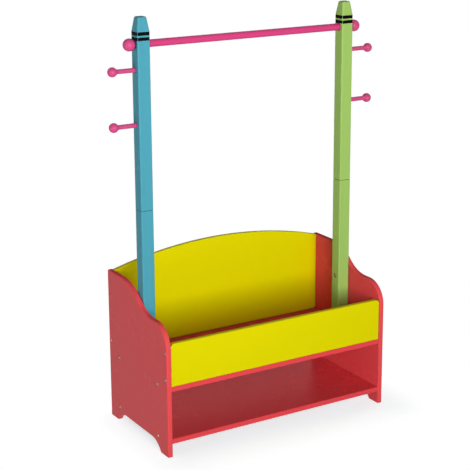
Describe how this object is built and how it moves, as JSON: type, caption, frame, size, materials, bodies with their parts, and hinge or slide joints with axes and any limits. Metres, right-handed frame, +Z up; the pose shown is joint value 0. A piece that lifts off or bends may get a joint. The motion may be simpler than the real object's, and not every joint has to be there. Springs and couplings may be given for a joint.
{
  "type": "children's open wardrobe",
  "caption": "Child-height open wardrobe: a round clothes rail between square posts with pegs, standing in a toy box with an arched back and an open shelf below.",
  "frame": {"origin": "on the floor under the middle of the cabinet", "axes": "+Z up, -Y out of the open front, +X to the right as seen from the front"},
  "size_m": [0.869, 0.356, 1.2],
  "materials": {
    "red_lacquer": "satin lacquer",
    "yellow_lacquer": "satin lacquer",
    "blue_lacquer": "satin lacquer",
    "green_lacquer": "satin lacquer",
    "pink_lacquer": "satin lacquer",
    "screw_steel": "zinc plated",
    "stud_steel": "zinc plated",
    "sleeve_brass": "plain",
    "beech_dowel": "raw wood"
  },
  "bodies": {
    "root": {"left_side_panel": "red_lacquer", "right_side_panel": "red_lacquer", "box_bottom": "red_lacquer", "lower_shelf": "red_lacquer", "box_front_panel": "yellow_lacquer", "box_back_panel": "yellow_lacquer", "left_post_lower": "blue_lacquer", "left_post_upper": "blue_lacquer", "right_post_lower": "green_lacquer", "right_post_upper": "green_lacquer", "clothes_rail": "pink_lacquer", "left_rail_knob": "pink_lacquer", "right_rail_knob": "pink_lacquer", "left_upper_peg": "pink_lacquer", "left_lower_peg": "pink_lacquer", "right_upper_peg": "pink_lacquer", "right_lower_peg": "pink_lacquer", "front_panel_screws": "screw_steel", "back_panel_screws": "screw_steel", "box_bottom_screws": "screw_steel", "shelf_screws": "screw_steel", "post_screws": "screw_steel", "rail_studs": "stud_steel", "peg_studs": "stud_steel", "post_joint_studs": "stud_steel", "rail_sleeves": "sleeve_brass", "post_joint_sleeves": "sleeve_brass", "front_panel_dowels": "beech_dowel", "back_panel_dowels": "beech_dowel", "post_base_dowels": "beech_dowel"}
  },
  "joints": []
}
